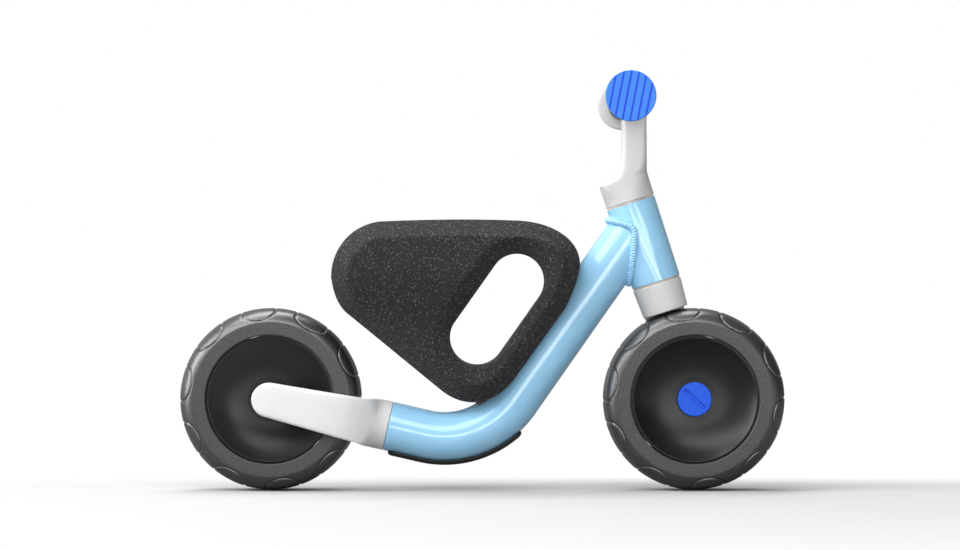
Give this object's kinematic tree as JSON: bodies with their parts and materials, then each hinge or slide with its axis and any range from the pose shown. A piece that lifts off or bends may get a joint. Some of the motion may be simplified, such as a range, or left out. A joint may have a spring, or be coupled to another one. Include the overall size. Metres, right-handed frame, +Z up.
{
  "type": "balance bike",
  "caption": "Low toddler's balance bike with a bent tube frame, a moulded foam seat with a handle hole, single-sided wheel mounts and a straight bar with round end discs.",
  "frame": {"origin": "on the floor, midway between the two axles, in the middle of the bike's width", "axes": "+X towards the front wheel, +Y to the rider's left, +Z up"},
  "size_m": [0.5824, 0.23, 0.3986],
  "materials": {
    "frame_paint": "glossy light blue powder coat",
    "light_plastic": "matte light grey moulded plastic with a fine grain",
    "bead_foam": "moulded bead foam, charcoal, with lighter beads",
    "tyre": "matte solid tyre with a fine grain",
    "hub_plastic": "satin black moulded plastic",
    "blue_plastic": "satin bright blue moulded plastic",
    "black_rubber": "matte black rubber",
    "bush_plastic": "dark grey bearing plastic",
    "steel": "bright zinc-plated steel",
    "brass": "turned brass"
  },
  "bodies": {
    "frame": {"frame_tube": "frame_paint", "head_tube": "frame_paint", "weld_bead": "frame_paint", "frame_bumper": "black_rubber", "rear_arm": "light_plastic", "arm_screw_rear": "steel", "arm_screw_front": "steel", "seat": "bead_foam", "seat_insert": "bush_plastic", "seat_bolt_rear": "steel", "seat_bolt_front": "steel", "headset_bush_upper": "bush_plastic", "headset_bush_lower": "bush_plastic", "rear_axle": "steel", "rear_axle_cap": "blue_plastic"},
    "steering": {"fork": "light_plastic", "steerer_tube": "steel", "steering_stop_pin": "steel", "steering_bolt": "steel", "stem_insert": "brass", "stem": "light_plastic", "handlebar_tube": "steel", "grip_left": "black_rubber", "grip_flange_left": "light_plastic", "bar_cap_left": "blue_plastic", "grip_right": "black_rubber", "grip_flange_right": "light_plastic", "bar_cap_right": "blue_plastic", "front_axle": "steel", "front_axle_cap": "blue_plastic"},
    "rear_wheel": {"rear_tyre": "tyre", "rear_hub": "hub_plastic", "rear_bearing_left": "steel", "rear_bearing_right": "steel", "rear_bearing_spacer": "steel"},
    "front_wheel": {"front_tyre": "tyre", "front_hub": "hub_plastic", "front_bearing_left": "steel", "front_bearing_right": "steel", "front_bearing_spacer": "steel"}
  },
  "joints": [
    {"name": "steering", "type": "hinge", "parent": "frame", "child": "steering", "pos_m": [0.20365, 0, 0.0875], "axis": [-0.3057, 0, 0.9521], "range_deg": [-45, 45]},
    {"name": "front_wheel_spin", "type": "hinge", "parent": "steering", "child": "front_wheel", "pos_m": [0.20365, 0, 0.0875], "axis": [0, 1, 0], "continuous": true},
    {"name": "rear_wheel_spin", "type": "hinge", "parent": "frame", "child": "rear_wheel", "pos_m": [-0.20365, 0, 0.0875], "axis": [0, 1, 0], "continuous": true}
  ]
}
